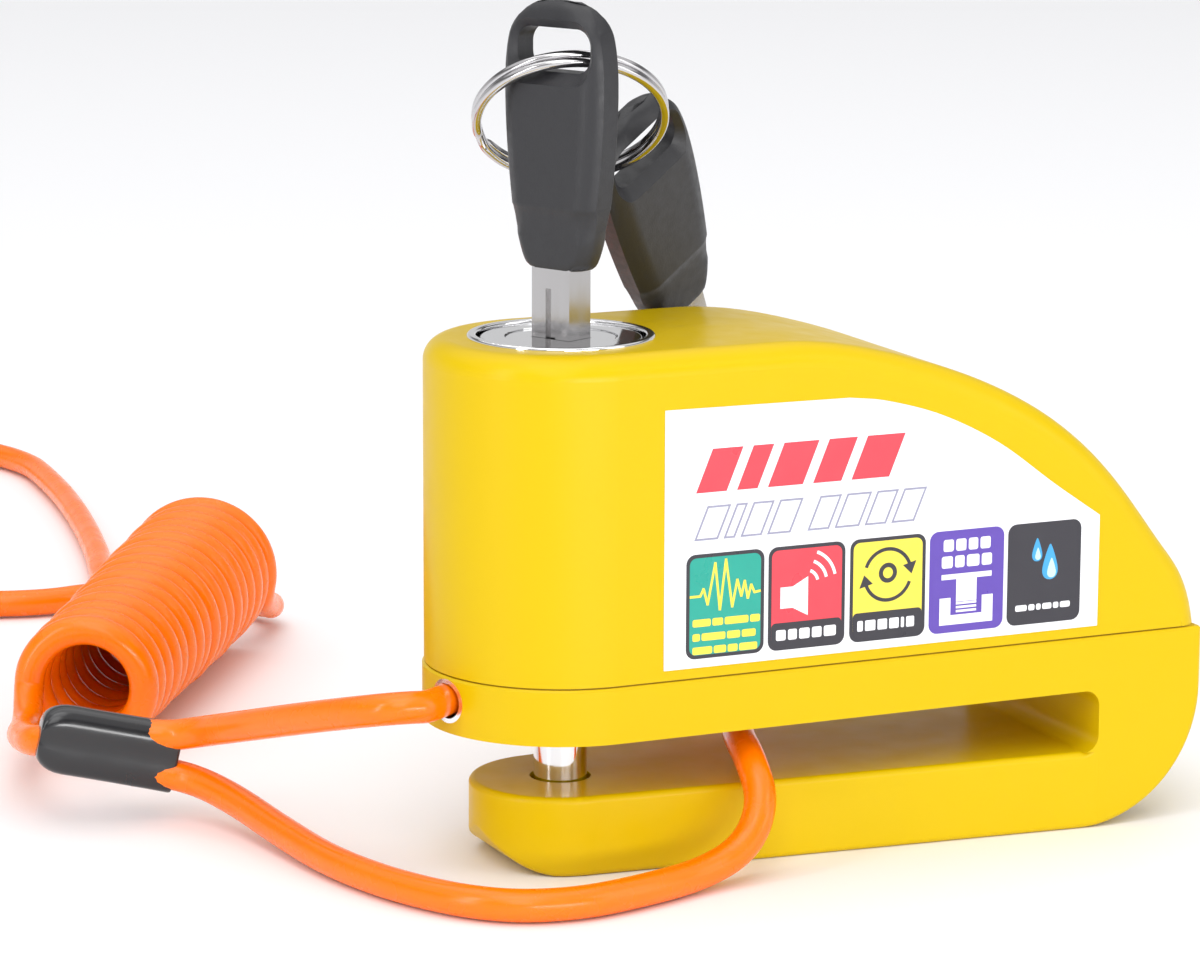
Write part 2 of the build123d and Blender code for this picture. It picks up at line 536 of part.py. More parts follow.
def tube(pts, r, name):
    """Straight runs joined by tangent arcs, each arc as large as its runs allow."""
    v = [Vector(*p) for p in pts]
    radii = [0.0]
    for i in range(1, len(v) - 1):
        a, b = v[i] - v[i - 1], v[i + 1] - v[i]
        turn = math.radians(a.get_angle(b))
        radii.append(0.45 * min(a.length, b.length) / math.tan(turn / 2))
    print(name, "cord radii", [round(x, 1) for x in radii[1:]],
          "turns", [round((v[i] - v[i - 1]).get_angle(v[i + 1] - v[i])) for i in range(1, len(v) - 1)])
    wire = FilletPolyline(*pts, radius=radii[1:])
    sec_ = Plane(origin=wire @ 0, z_dir=wire % 0) * Circle(r)
    s = sweep(sec_, path=wire, transition=Transition.RIGHT)
    vol = math.pi * r * r * wire.length
    print(name, "length", round(wire.length, 1), "volume ratio", round(s.volume / vol, 4))
    return s


nodes["near_loop_cable"] = tube(NEAR, R_C, "near_loop_cable")
nodes["far_loop_cable"] = tube(FAR, R_C, "far_loop_cable")
NEAR_LEAD = [(-44.6, 34.6, 9.2), (-47.9, 35.6, 9.5), (-49.5, 38.0, 9.1), (-49.0, 42.6, 8.2), (-47.6, 49.0, 7.2), (-45.3, 55.8, 6.4), (-42.3, 62.4, 6.2)]
FAR_LEAD = [(4.4, 110.05, 5.4), (7.2, 112.9, 4.2), (9.3, 116.6, 3.0), (9.3, 121.0, 2.4), (4.8, 125.9, 2.4)]
nodes["near_lead_cable"] = tube(NEAR_LEAD, R_C, "near_lead_cable")
nodes["far_lead_cable"] = tube(FAR_LEAD, R_C, "far_lead_cable")

# coiled part: one fat tube of the coil's outer size
COIL0, COIL1 = (-36.9, 59.7, 8.7), (-1.8, 112.9, 10.4)
OD0, OD1 = 17.2, 20.4
cv = (Vector(*COIL1) - Vector(*COIL0))
cp = Plane(origin=COIL0, z_dir=cv.normalized())
coil = loft([cp * Circle(OD0 / 2), cp.offset(cv.length) * Circle(OD1 / 2)])
nodes["coil_cable"] = coil


def sleeve_block(p0, p1, hw, hh):
    a, b = Vector(*p0), Vector(*p1)
    d = (b - a).normalized()
    pl = Plane(origin=p0, x_dir=d.cross(Vector(0, 0, 1)), z_dir=d)
    s = extrude(pl * RectangleRounded(2 * hw, 2 * hh, min(hw, hh) - 0.02), amount=(b - a).length)
    return s


nodes["near_crimp_sleeve"] = (sleeve_block(NS0, NS1, 2.3, 4.1) - nodes["near_loop_cable"] - nodes["near_lead_cable"]).solids()[0]
nodes["far_crimp_sleeve"] = (sleeve_block(FS0, FS1, 4.1, 2.3) - nodes["far_loop_cable"] - nodes["far_lead_cable"]).solids()[0]

# ------------------------------------------------------------------ write
for name, shape in nodes.items():
    if isinstance(shape, (list, ShapeList)):
        shape = Compound(children=list(shape))
    shape.label = name
    export_step(shape, os.path.join("parts", name + ".step"))
    print(name, len(shape.solids()), round(shape.volume, 1))
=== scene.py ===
import bpy
import bmesh
import json
import math
import random
from mathutils import Vector, Matrix, noise


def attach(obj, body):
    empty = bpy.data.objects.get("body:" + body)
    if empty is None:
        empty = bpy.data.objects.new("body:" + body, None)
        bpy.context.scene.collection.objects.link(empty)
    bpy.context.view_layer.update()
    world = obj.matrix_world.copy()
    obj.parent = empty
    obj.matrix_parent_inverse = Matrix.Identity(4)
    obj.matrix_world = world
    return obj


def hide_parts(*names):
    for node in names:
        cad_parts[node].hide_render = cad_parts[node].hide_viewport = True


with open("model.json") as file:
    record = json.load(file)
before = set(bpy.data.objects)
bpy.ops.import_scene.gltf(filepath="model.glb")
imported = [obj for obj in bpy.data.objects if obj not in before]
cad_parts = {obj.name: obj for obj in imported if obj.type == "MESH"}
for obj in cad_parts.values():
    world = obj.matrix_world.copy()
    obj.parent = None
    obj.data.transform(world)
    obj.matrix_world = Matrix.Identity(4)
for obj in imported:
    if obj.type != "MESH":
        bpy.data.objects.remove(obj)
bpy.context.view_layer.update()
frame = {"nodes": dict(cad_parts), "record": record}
nodes = frame["nodes"]
sc = bpy.context.scene
MM = 0.001

# ------------------------------------------------------------------ camera
yaw, pitch, roll = math.radians(24.541), math.radians(11.389), math.radians(0.214)
fwd = Vector((math.sin(yaw) * math.cos(pitch), math.cos(yaw) * math.cos(pitch), -math.sin(pitch)))
right = Vector((math.cos(yaw), -math.sin(yaw), 0.0))
up = right.cross(fwd)
r2 = right * math.cos(roll) + up * math.sin(roll)
u2 = up * math.cos(roll) - right * math.sin(roll)
cam_data = bpy.data.cameras.new("camera")
cam = bpy.data.objects.new("camera", cam_data)
sc.collection.objects.link(cam)
cam.matrix_world = Matrix((
    (r2.x, u2.x, -fwd.x, -0.198999),
    (r2.y, u2.y, -fwd.y, -0.446301),
    (r2.z, u2.z, -fwd.z, 0.141127),
    (0, 0, 0, 1)))
cam_data.sensor_width = 36.0
cam_data.lens = 135.0
cam_data.clip_start, cam_data.clip_end = 0.01, 50.0
sc.camera = cam
sc.view_settings.view_transform = "Standard"
sc.view_settings.look = "None"

# ------------------------------------------------------------------ materials


def lin(c):
    """sRGB 0..255 to linear."""
    out = []
    for v in c:
        v = v / 255.0
        out.append(v / 12.92 if v <= 0.04045 else ((v + 0.055) / 1.055) ** 2.4)
    return (out[0], out[1], out[2], 1.0)


def material(name, colour, rough, metal=0.0, vary=0.05, vary_scale=120.0, rough_vary=0.06, rough_scale=300.0,
             bump=0.0, bump_scale=1500.0, bump_detail=2.0, coat=0.0, coat_rough=0.1, ior=1.5, sss=0.0, stretch=(1, 1, 1),
             sheen=0.0, spec=0.5):
    m = bpy.data.materials.new(name)
    m.use_nodes = True
    nt = m.node_tree
    b = nt.nodes["Principled BSDF"]
    b.inputs["Metallic"].default_value = metal
    b.inputs["IOR"].default_value = ior
    b.inputs["Coat Weight"].default_value = coat
    b.inputs["Coat Roughness"].default_value = coat_rough
    b.inputs["Sheen Weight"].default_value = sheen
    b.inputs["Specular IOR Level"].default_value = spec
    if sss > 0:
        b.inputs["Subsurface Weight"].default_value = sss
        b.inputs["Subsurface Radius"].default_value = (0.002, 0.0006, 0.0002)
        b.inputs["Subsurface Scale"].default_value = 1.0
    tc = nt.nodes.new("ShaderNodeTexCoord")
    mp = nt.nodes.new("ShaderNodeMapping")
    mp.inputs["Scale"].default_value = stretch
    nt.links.new(tc.outputs["Object"], mp.inputs["Vector"])
    n1 = nt.nodes.new("ShaderNodeTexNoise")
    n1.inputs["Scale"].default_value = vary_scale
    n1.inputs["Detail"].default_value = 4.0
    nt.links.new(mp.outputs["Vector"], n1.inputs["Vector"])
    ramp = nt.nodes.new("ShaderNodeMix")
    ramp.data_type = "RGBA"
    a = [max(0.0, v * (1 - vary)) for v in colour[:3]] + [1.0]
    c = [min(1.0, v * (1 + vary)) for v in colour[:3]] + [1.0]
    ramp.inputs[6].default_value = a
    ramp.inputs[7].default_value = c
    nt.links.new(n1.outputs["Fac"], ramp.inputs[0])
    nt.links.new(ramp.outputs[2], b.inputs["Base Color"])
    n2 = nt.nodes.new("ShaderNodeTexNoise")
    n2.inputs["Scale"].default_value = rough_scale
    n2.inputs["Detail"].default_value = 3.0
    nt.links.new(mp.outputs["Vector"], n2.inputs["Vector"])
    mr = nt.nodes.new("ShaderNodeMapRange")
    mr.inputs["From Min"].default_value = 0.3
    mr.inputs["From Max"].default_value = 0.7
    mr.inputs["To Min"].default_value = max(0.02, rough - rough_vary)
    mr.inputs["To Max"].default_value = rough + rough_vary
    nt.links.new(n2.outputs["Fac"], mr.inputs["Value"])
    nt.links.new(mr.outputs["Result"], b.inputs["Roughness"])
    if bump > 0:
        n3 = nt.nodes.new("ShaderNodeTexNoise")
        n3.inputs["Scale"].default_value = bump_scale
        n3.inputs["Detail"].default_value = bump_detail
        nt.links.new(mp.outputs["Vector"], n3.inputs["Vector"])
        bp = nt.nodes.new("ShaderNodeBump")
        bp.inputs["Strength"].default_value = bump
        bp.inputs["Distance"].default_value = 0.00006
        nt.links.new(n3.outputs["Fac"], bp.inputs["Height"])
        nt.links.new(bp.outputs["Normal"], b.inputs["Normal"])
    return m


M_YELLOW = material("yellow_paint", (0.67, 0.46, 0.0, 1), 0.34, vary=0.012, vary_scale=70, bump=0.03, bump_scale=1400, rough_vary=0.05,
                    coat=0.03, coat_rough=0.2, spec=0.18)
M_CHROME = material("chrome", (0.80, 0.80, 0.81, 1), 0.07, metal=1.0, vary=0.03, rough_vary=0.03, rough_scale=500, bump=0.02, bump_scale=800)
M_RING = material("ring_wire", (0.58, 0.57, 0.58, 1), 0.12, metal=1.0, vary=0.08, rough_vary=0.05, rough_scale=900, bump=0.05, bump_scale=2500)
M_BLADE = material("key_blade_steel", (0.46, 0.45, 0.45, 1), 0.19, metal=1.0, vary=0.05, rough_vary=0.06, rough_scale=700, bump=0.10, bump_scale=900,
                   stretch=(1, 1, 0.12))
M_STEEL = material("plain_steel", (0.58, 0.58, 0.60, 1), 0.30, metal=1.0, vary=0.06, bump=0.12, bump_scale=2200)
M_EYE = material("eyelet_steel", (0.90, 0.90, 0.91, 1), 0.18, metal=1.0, vary=0.03, bump=0.05, bump_scale=2200)
M_BRASS = material("brass", (0.72, 0.50, 0.18, 1), 0.28, metal=1.0, vary=0.07, bump=0.08, bump_scale=1800)
M_RUBBER = material("black_rubber", (0.022, 0.022, 0.023, 1), 0.62, vary=0.15, bump=0.25, bump_scale=2600)
M_KEY = material("key_plastic", (0.021, 0.021, 0.024, 1), 0.44, vary=0.12, rough_vary=0.07, rough_scale=900, bump=0.32, bump_scale=4200,
                 bump_detail=4, ior=1.48)
M_KEYFACE = material("key_panel_plastic", (0.027, 0.026, 0.029, 1), 0.40, vary=0.10, rough_vary=0.05, rough_scale=600, bump=0.12, bump_scale=3600,
                     bump_detail=3, ior=1.48)
M_SEAL = material("seal_yellow", (0.46, 0.30, 0.0, 1), 0.55, vary=0.10, bump=0.2, bump_scale=2600)
M_BLACK = material("moulded_black", (0.03, 0.03, 0.032, 1), 0.46, vary=0.12, bump=0.2, bump_scale=3000)
M_SLEEVE = material("sleeve_black", (0.012, 0.012, 0.014, 1), 0.20, vary=0.15, rough_vary=0.08, rough_scale=260, bump=0.16, bump_scale=420,
                    coat=0.3, coat_rough=0.1)
M_BOARD = material("board_green", (0.03, 0.20, 0.07, 1), 0.35, vary=0.2, vary_scale=400, bump=0.2, bump_scale=1200, coat=0.4)
M_FILM = material("label_film", (0.87, 0.875, 0.915, 1), 0.30, vary=0.012, rough_vary=0.04, bump=0.04, bump_scale=500, coat=0.25, coat_rough=0.15)


def ink(name, rgb):
    return material(name, lin(rgb), 0.32, vary=0.05, vary_scale=600, rough_vary=0.05, bump=0.05, bump_scale=1800, coat=0.2, coat_rough=0.15)


def cable_material():
    """Soft vinyl sheath: saturated orange with a slightly deeper tone in places and very fine flow lines."""
    m = material("orange_cable", (1.0, 0.185, 0.0, 1), 0.26, vary=0.04, vary_scale=160, rough_vary=0.07, rough_scale=240,
                 bump=0.05, bump_scale=700, coat=0.12, coat_rough=0.12, sss=0.15, spec=0.35)
    return m


M_CABLE = cable_material()

# the printed colours of the label
INKS = {
    "red": ink("ink_red", (232, 62, 76)), "grey": ink("ink_grey", (150, 150, 172)), "dark": ink("ink_dark", (44, 42, 50)),
    "teal": ink("ink_teal", (18, 158, 140)), "yellow": ink("ink_yellow", (240, 222, 72)), "purple": ink("ink_purple", (92, 66, 168)),
    "white": ink("ink_white", (244, 244, 250)), "blue": ink("ink_blue", (60, 160, 215)), "pale": ink("ink_pale", (190, 232, 250)),
}

by_slot = {"yellow_paint": M_YELLOW, "chrome": M_CHROME, "steel": M_STEEL, "brass": M_BRASS, "black_rubber": M_RUBBER, "label_white": M_FILM,
           "board_green": M_BOARD, "black_part": M_BLACK, "key_plastic": M_KEY, "seal_yellow": M_SEAL, "orange_cable": M_CABLE, "sleeve_black": M_SLEEVE}
special = {"shell_gasket": M_SEAL, "key_1_blade": M_BLADE, "key_2_blade": M_BLADE, "cable_eyelets": M_EYE}
for sp in frame["record"]["subparts"]:
    o = nodes.get(sp["node"])
    if o is None:
        continue
    m = special.get(sp["node"], by_slot.get(sp["material_slot"], M_STEEL))
    o.data.materials.clear()
    o.data.materials.append(m)

# ------------------------------------------------------------------ helpers


def add_mesh(name, verts, faces, mat, body, smooth=True, sharp=None, mats=None, face_mats=None):
    me = bpy.data.meshes.new(name)
    me.from_pydata([tuple(Vector(v) * MM) for v in verts], [], faces)
    me.update()
    bm = bmesh.new()
    bm.from_mesh(me)
    if face_mats is None:
        bmesh.ops.recalc_face_normals(bm, faces=bm.faces)
    for f in bm.faces:
        f.smooth = smooth
    bm.to_mesh(me)
    bm.free()
    if mats:
        for m_ in mats:
            me.materials.append(m_)
        for i, p in enumerate(me.polygons):
            p.material_index = face_mats[i]
    else:
        me.materials.append(mat)
    if sharp is not None:
        me.set_sharp_from_angle(angle=math.radians(sharp))
    ob = bpy.data.objects.new(name, me)
    sc.collection.objects.link(ob)
    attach(ob, body)
    return ob


def baked(ob):
    """Replace an object's mesh with the result of its modifiers."""
    dg = bpy.context.evaluated_depsgraph_get()
    dg.update()
    me = bpy.data.meshes.new_from_object(ob.evaluated_get(dg))
    old = ob.data
    ob.modifiers.clear()
    ob.data = me
    bpy.data.meshes.remove(old)
    return ob


# ------------------------------------------------------------------ cords
CORD = 3.6
NEAR = [(-41.6, 33.8, 10.46), (-36.2, 32.5, 9.45), (-32.4, 29.0, 10.5), (-31.2, 22.8, 12.3), (-29.4, 15.2, 14.5),
        (-26.9, 6.0, 17.15), (-23.6, -3.3, 19.7), (-20.3, -5.3, 20.15), (-17.18, -5.07, 19.85), (9.42, 18.88, 19.85),
        (17.8, 24.6, 18.4), (26.4, 24.2, 15.4), (29.0, 15.4, 13.0), (23.5, 3.0, 12.6), (19.2, -6.0, 13.0),
        (17.2, -13.2, 12.4), (16.6, -17.9, 8.6), (14.0, -19.2, 4.2), (8.5, -20.0, 1.95), (-0.5, -23.2, 1.9), (-9.5, -24.9, 1.9),
        (-17.6, -22.0, 1.9), (-23.6, -12.5, 1.9), (-27.2, 0.0, 1.9), (-28.6, 12.5, 2.4), (-30.2, 23.6, 3.6),
        (-32.9, 30.2, 4.7), (-37.0, 32.6, 5.5), (-41.6, 33.8, 6.56)]
FAR = [(-0.64, 134.53, 2.3), (-4.0, 138.2, 2.15), (-5.4, 147.0, 2.0), (-1.5, 160.0, 2.0), (4.0, 184.0, 2.0), (8.5, 210.0, 2.0), (11.0, 238.0, 2.0),
       (-6.0, 262.0, 2.0), (-35.0, 265.0, 2.0), (-58.0, 245.0, 2.0), (-68.0, 215.0, 2.0), (-66.0, 185.0, 2.0),
       (-52.0, 158.0, 2.0), (-33.0, 141.0, 2.0), (-18.5, 134.9, 2.0), (-8.6, 136.9, 2.1), (-3.48, 131.85, 2.3)]
LEAD_A = [(-44.6, 34.6, 9.2), (-47.9, 35.6, 9.5), (-49.5, 38.0, 9.1), (-49.0, 42.6, 8.2), (-47.6, 49.0, 7.0), (-45.6, 55.0, 5.6), (-43.6, 59.4, 5.6)]
LEAD_B = [(6.2, 112.2, 4.6), (9.0, 116.4, 3.1), (9.4, 121.0, 2.4), (4.8, 125.9, 2.4), (2.4, 128.45, 2.4)]


def cord_curve(name, pts, body="lock_body"):
    cu = bpy.data.curves.new(name, "CURVE")
    cu.dimensions = "3D"
    s = cu.splines.new("NURBS")
    s.points.add(len(pts) - 1)
    for i, p in enumerate(pts):
        s.points[i].co = (p[0] * MM, p[1] * MM, p[2] * MM, 1.0)
    s.order_u = 3
    s.use_endpoint_u = True
    s.resolution_u = 10
    cu.bevel_depth = CORD / 2 * MM
    cu.bevel_resolution = 8
    cu.use_fill_caps = True
    cu.materials.append(M_CABLE)
    ob = bpy.data.objects.new(name, cu)
    sc.collection.objects.link(ob)
    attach(ob, body)
    return ob


# the coil's helix: the cord's own spline runs on through its turns
C0, C1 = Vector((-36.9, 59.7, 8.7)), Vector((-1.8, 112.9, 10.4))
ax = (C1 - C0).normalized()
left = Vector((0, 0, 1)).cross(ax)
left.normalize()
upv = ax.cross(left)
LEN = (C1 - C0).length
OD0, OD1 = 17.2, 20.4
PER = 14
PITCH = 3.66
s0, s1 = 1.85, LEN - 1.85
phi0 = -8.0
turns = (s1 - s0) / PITCH
total = turns * 360.0
# finish on the right-hand side going down
end_phi = 205.0
k = round((phi0 + total - end_phi) / 360.0)
total = end_phi + 360.0 * k - phi0
n_pts = int(total / 360.0 * PER)
helix = []
for i in range(n_pts + 1):
    t = i / n_pts
    phi = math.radians(phi0 + total * t)
    s = s0 + (s1 - s0) * t
    od = OD0 + (OD1 - OD0) * (s / LEN)
    wob = 0.10 * math.sin(phi * 0.37) + 0.07 * math.sin(phi * 0.11 + 1.0)
    r = ((od - CORD) / 2 - 0.12 + wob) / 0.9665
    p = C0 + ax * s + left * (r * math.cos(phi)) + upv * (r * math.sin(phi))
    helix.append(tuple(p))
COIL = LEAD_A + helix + LEAD_B

near_loop = cord_curve("near_loop_cord", NEAR)
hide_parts("near_loop_cable")
coil_cord = cord_curve("coil_cord", COIL)
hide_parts("near_lead_cable", "coil_cable", "far_lead_cable")
far_loop = cord_curve("far_loop_cord", FAR)
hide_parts("far_loop_cable")


def sleeve(name, p0, p1, hw, hh, node, round0, round1):
    """Heat-shrunk sleeve over two strands: an obround with a slight waist between them, rounded at one end."""
    a, b = Vector(p0), Vector(p1)
    d = (b - a).normalized()
    sx = d.cross(Vector((0, 0, 1))).normalized()
    sy = sx.cross(d)
    tall = hh > hw
    ring = []
    n = 56
    small, big = min(hw, hh), max(hw, hh)
    for i in range(n):
        t = 2 * math.pi * i / n
        c, s_ = math.cos(t), math.sin(t)
        ex = 2.0 / 2.9
        u = small * math.copysign(abs(c) ** ex, c)
        v = big * math.copysign(abs(s_) ** ex, s_)
        waist = 1.0 - 0.10 * math.exp(-(v / (0.32 * big)) ** 2)
        ring.append((u * waist, v))
    length = (b - a).length
    stations = [0.0, 0.12, 0.35, 0.7, 1.2, 1.8, 2.5, 3.4, 5.0, 7.0, 9.0, length - 3.0, length - 1.6, length - 0.7, length - 0.3, length - 0.08, length]
    verts, faces = [], []
    for x in stations:
        f = 1.0
        g = 1.0
        if x < 3.4 and round0 > 0:
            q = (3.4 - x) / 3.4
            f = 1.0 - round0 * (1 - math.sqrt(max(0.0, 1 - q * q)))
            g = 1.0 - 0.25 * round0 * (1 - math.sqrt(max(0.0, 1 - q * q)))
        e = length - x
        if e < 0.3:
            q = (0.3 - e) / 0.3
            f *= 1.0 - 0.05 * (1 - math.sqrt(max(0.0, 1 - q * q)))
            g *= 1.0 - 0.08 * (1 - math.sqrt(max(0.0, 1 - q * q)))
        shrink = 1.0 - 0.018 * math.sin(math.pi * x / length)
        for (u, v) in ring:
            uu, vv = (u * g, v * f) if tall else (v * f, u * g)
            verts.append(tuple(a + d * x + sx * (uu * shrink) + sy * (vv * shrink)))
    m_ = len(stations)
    for j in range(m_ - 1):
        for i in range(n):
            faces.append((j * n + i, j * n + (i + 1) % n, (j + 1) * n + (i + 1) % n, (j + 1) * n + i))
    faces.append(tuple(range(n)))
    # the open end has a thin lip and a recessed face
    base = len(verts)
    for (k_, dz) in ((0.86, 0.0), (0.82, -0.8)):
        for (u, v) in ring:
            uu, vv = (u * k_, v * k_) if tall else (v * k_, u * k_)
            verts.append(tuple(a + d * (length + dz) + sx * uu + sy * vv))
    last = (m_ - 1) * n
    for i in range(n):
        faces.append((last + i, last + (i + 1) % n, base + (i + 1) % n, base + i))
        faces.append((base + i, base + (i + 1) % n, base + n + (i + 1) % n, base + n + i))
    faces.append(tuple(range(base + n, base + 2 * n)))
    ob = add_mesh(name, verts, faces, M_SLEEVE, "lock_body", sharp=42)
    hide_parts(node)
    return ob


near_sleeve = sleeve("near_sleeve", (-49.6, 35.77, 10.33), (-34.3, 32.05, 6.84), 2.3, 4.1, "near_crimp_sleeve", 0.55, 0.0)
far_sleeve = sleeve("far_sleeve", (4.8, 125.9, 2.4), (-4.8, 136.1, 2.4), 4.1, 2.28, "far_crimp_sleeve", 0.4, 0.0)


# ------------------------------------------------------------------ keys


def chaikin(pts, rounds):
    for _ in range(rounds):
        out = []
        n = len(pts)
        for i in range(n):
            a, b = Vector(pts[i]), Vector(pts[(i + 1) % n])
            out.append(tuple(a * 0.75 + b * 0.25))
            out.append(tuple(a * 0.25 + b * 0.75))
        pts = out
    return pts


DN, UP_ = 24.2, 5.1
half = [(0.0, -DN), (3.7, -DN), (4.75, -23.3), (5.75, -19.6), (6.75, -11.5), (7.12, -5.0), (6.95, -0.6), (6.2, 2.6), (4.4, 4.7), (2.2, UP_ + 0.2), (0.0, UP_ + 0.2)]
outl = chaikin(half + [(-x, y) for x, y in reversed(half[1:-1])], 3)
rside = sorted([(y, x) for x, y in outl if x > -0.01])
Y0, Y1 = min(p[1] for p in outl) + 0.001, max(p[1] for p in outl) - 0.001


def half_width(y):
    best = 0.0
    for i in range(len(rside) - 1):
        (ya, xa), (yb, xb) = rside[i], rside[i + 1]
        if ya <= y <= yb and yb > ya:
            best = max(best, xa + (xb - xa) * (y - ya) / (yb - ya))
    if best == 0.0:
        best = max(x for (yy, x) in rside if abs(yy - y) < 0.25)
    return best


def key_head(name, centre, wdir, updir, body, node):
    w = Vector(wdir).normalized()
    u = Vector(updir)
    u = (u - w * u.dot(w)).normalized()
    n = w.cross(u)
    c = Vector(centre)
    ys = [Y0, Y0 + 0.12, Y0 + 0.3, Y0 + 0.6, Y0 + 1.0]
    y = Y0 + 1.6
    while y < -17.7:
        ys.append(y)
        y += 0.7
    ys += [-17.45, -17.2, -16.95]
    y = -16.4
    while y < Y1 - 1.3:
        ys.append(y)
        y += 0.6
    ys += [Y1 - 1.0, Y1 - 0.6, Y1 - 0.3, Y1 - 0.12, Y1]
    us = [-1.0, -0.985, -0.95, -0.9, -0.84, -0.77, -0.70, -0.6, -0.45, -0.3, -0.15, 0.0]
    us = us + [-q for q in reversed(us[:-1])]
    verts, faces = [], []
    rows = []
    for side in (1, -1):
        grid = []
        for y in ys:
            hw_ = half_width(y)
            row = []
            p = max(0.4, hw_ - 2.0 if y > -20 else hw_ - 1.3)
            top = 2.5
            if y < -17.2:
                top = 2.5 - 0.26 * min(1.0, (-17.2 - y) / 0.5) - max(0.0, -17.7 - y) * 0.055
            if y > 1.5:
                top = 2.5 - 0.10 * (y - 1.5) ** 2
            for uu in us:
                # keep a line of points on the panel's edge
                x = uu * hw_
                t = max(0.0, (abs(x) - p) / max(0.001, hw_ - p))
                z = top - 0.80 * t - 0.50 * t ** 5
                e = min(1.0, (y - Y0) / 1.0, (Y1 - y) / 1.0)
                z -= (0.22 if y < 0 else 0.55) * (1 - math.sqrt(max(0.0, 1 - (1 - e) ** 2)))
                row.append(len(verts))
                verts.append(tuple(c + w * x + u * y + n * (side * z)))
            grid.append(row)
        rows.append(grid)
    for gi, grid in enumerate(rows):
        for j in range(len(ys) - 1):
            for i in range(len(us) - 1):
                q = (grid[j][i], grid[j][i + 1], grid[j + 1][i + 1], grid[j + 1][i])
                faces.append(q if gi == 0 else tuple(reversed(q)))
    A, B = rows
    for j in range(len(ys) - 1):
        faces.append((A[j][-1], B[j][-1], B[j + 1][-1], A[j + 1][-1]))
        faces.append((B[j][0], A[j][0], A[j + 1][0], B[j + 1][0]))
    for i in range(len(us) - 1):
        faces.append((B[0][i], B[0][i + 1], A[0][i + 1], A[0][i]))
        faces.append((A[-1][i], A[-1][i + 1], B[-1][i + 1], B[-1][i]))
    ob = add_mesh(name, verts, faces, M_KEY, body)
    # rounded slot with flared mouths
    cv, cf = [], []
    seg = 10
    levels = [(-3.4, 2.3), (-2.5, 1.4), (-1.9, 0.65), (-1.3, 0.0), (0.0, 0.0), (1.3, 0.0), (1.9, 0.65), (2.5, 1.4), (3.4, 2.3)]
    for (z, g) in levels:
        hx, hy, rr = 5.2 + g, 2.4 + g, 1.9 + g
        for (qx, qy, a0) in ((1, 1, 0), (-1, 1, 90), (-1, -1, 180), (1, -1, 270)):
            for k_ in range(seg + 1):
                an = math.radians(a0 + 90 * k_ / seg)
                cv.append((qx * (hx - rr) + rr * math.cos(an), qy * (hy - rr) + rr * math.sin(an), z))
    per = 4 * (seg + 1)
    for j in range(len(levels) - 1):
        for i in range(per):
            cf.append((j * per + i, j * per + (i + 1) % per, (j + 1) * per + (i + 1) % per, (j + 1) * per + i))
    cf.append(tuple(reversed(range(per))))
    cf.append(tuple((len(levels) - 1) * per + i for i in range(per)))
    me = bpy.data.meshes.new("cut")
    me.from_pydata([tuple((c + w * x + u * y + n * z) * MM) for x, y, z in cv], [], cf)
    bm = bmesh.new()
    bm.from_mesh(me)
    bmesh.ops.recalc_face_normals(bm, faces=bm.faces)
    for f in bm.faces:
        f.smooth = True
    bm.to_mesh(me)
    bm.free()
    me.materials.append(M_KEY)
    cut = bpy.data.objects.new("cut", me)
    sc.collection.objects.link(cut)
    mod = ob.modifiers.new("slot", "BOOLEAN")
    mod.operation = "DIFFERENCE"
    mod.solver = "EXACT"
    mod.object = cut
    baked(ob)
    bpy.data.objects.remove(cut)
    ob.data.set_sharp_from_angle(angle=math.radians(24))
    bv = ob.modifiers.new("edge", "BEVEL")
    bv.width = 0.00022
    bv.segments = 2
    bv.limit_method = "ANGLE"
    bv.angle_limit = math.radians(34)
    bv.harden_normals = False
    baked(ob)
    for p_ in ob.data.polygons:
        p_.use_smooth = True
    ob.data.set_sharp_from_angle(angle=math.radians(30))
    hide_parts(node)
    return ob


KA = math.radians(-64.5)
key_head("key_1_grip", (0, 0, 90.6), (math.cos(KA), math.sin(KA), 0), (0, 0, 1), "key_1", "key_1_head")
key_head("key_2_grip", (13.384, 9.566, 78.081), (0.808, 0.248, 0.535), (-0.414, -0.409, 0.814), "key_2", "key_2_head")

# ------------------------------------------------------------------ split ring: one wire wound twice
RC = Vector((3.465, 5.385, 82.47))
E1 = Vector((0.926, -0.374, 0.045)).normalized()
E2 = Vector((-0.3, -0.66, 0.689))
E2 = (E2 - E1 * E2.dot(E1)).normalized()
RN = E1.cross(E2)
sect = []
for i in range(16):
    t = 2 * math.pi * i / 16
    cx, sy_ = math.cos(t), math.sin(t)
    sect.append((0.53 * math.copysign(abs(cx) ** 0.72, cx), 0.475 * math.copysign(abs(sy_) ** 0.72, sy_)))
N = 240
th0 = math.radians(205)
gap = math.radians(20)
rv, rf = [], []
for i in range(N + 1):
    th = th0 + (4 * math.pi - gap * 0.6) * i / N
    x = th - th0
    q = (x - 2 * math.pi + gap) / gap
    q = min(1.0, max(0.0, q))
    q = q * q * (3 - 2 * q)
    off = -0.495 + 0.99 * q
    rad_dir = E1 * math.cos(th) + E2 * math.sin(th)
    endf = 1.0
    for e in (i, N - i):
        if e < 3:
            endf = min(endf, (0.55, 0.85, 0.96)[e])
    for (a_, b_) in sect:
        rv.append(tuple(RC + rad_dir * (10.4 + a_ * endf) + RN * (off + b_ * endf)))
for i in range(N):
    for j in range(16):
        rf.append((i * 16 + j, i * 16 + (j + 1) % 16, (i + 1) * 16 + (j + 1) % 16, (i + 1) * 16 + j))
rf.append(tuple(range(16)))
rf.append(tuple(N * 16 + j for j in range(16)))
ring = add_mesh("wound_ring", rv, rf, M_RING, "key_ring", sharp=50)
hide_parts("split_ring")

